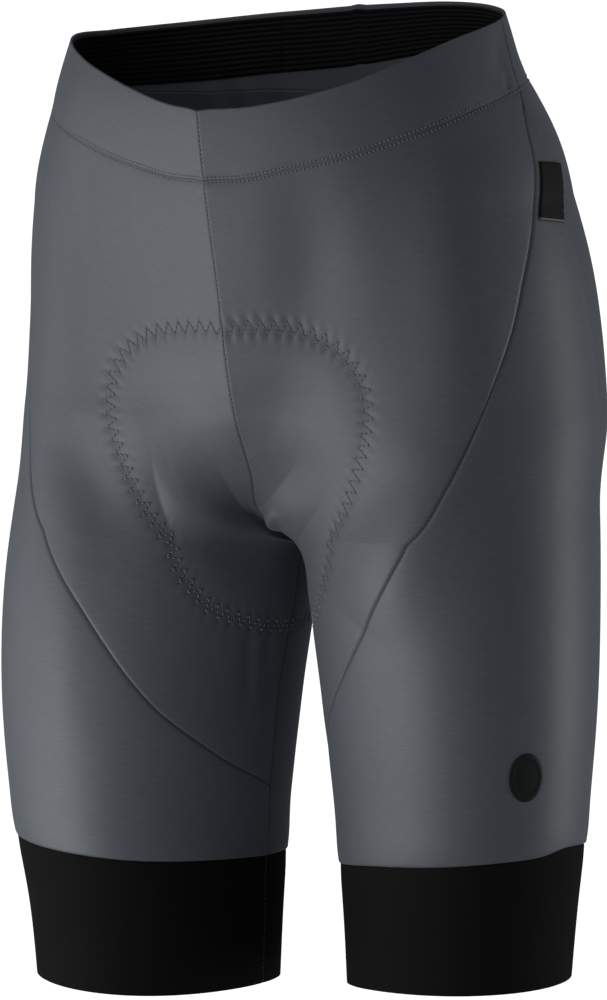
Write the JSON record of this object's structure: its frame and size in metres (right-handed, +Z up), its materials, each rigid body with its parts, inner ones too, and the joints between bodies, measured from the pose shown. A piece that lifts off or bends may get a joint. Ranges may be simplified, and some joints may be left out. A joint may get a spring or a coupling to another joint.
{
  "type": "cycling shorts",
  "caption": "Knee-length stretch cycling shorts, filled out as worn, with a waistband, diagonal thigh seams, a seat pad inside and wide elastic hem bands.",
  "frame": {"origin": "middle of the waist opening, where the wearer holds the shorts up", "axes": "+Z up; the front of the shorts faces -Y; the wearer's left side is towards +X"},
  "size_m": [0.3422, 0.2083, 0.5402],
  "materials": {
    "grey_jersey": "slate grey stretch jersey with a soft sheen",
    "black_knit": "dull black elastic knit",
    "black_elastic": "black ribbed elastic",
    "pad_foam": "dark fabric over foam",
    "label_weave": "black woven tape, left blank",
    "badge_rubber": "matt black transfer, left blank"
  },
  "bodies": {
    "root": {"waistband_front_right": "grey_jersey", "waistband_front_left": "grey_jersey", "waistband_back": "grey_jersey", "elastic_back_right": "black_elastic", "elastic_back_left": "black_elastic", "front_right": "grey_jersey", "front_left": "grey_jersey", "back_right": "grey_jersey", "back_left": "grey_jersey", "hem_band_right": "black_knit", "hem_band_left": "black_knit", "seat_pad": "pad_foam", "side_label": "label_weave", "thigh_badge": "badge_rubber"}
  },
  "joints": []
}
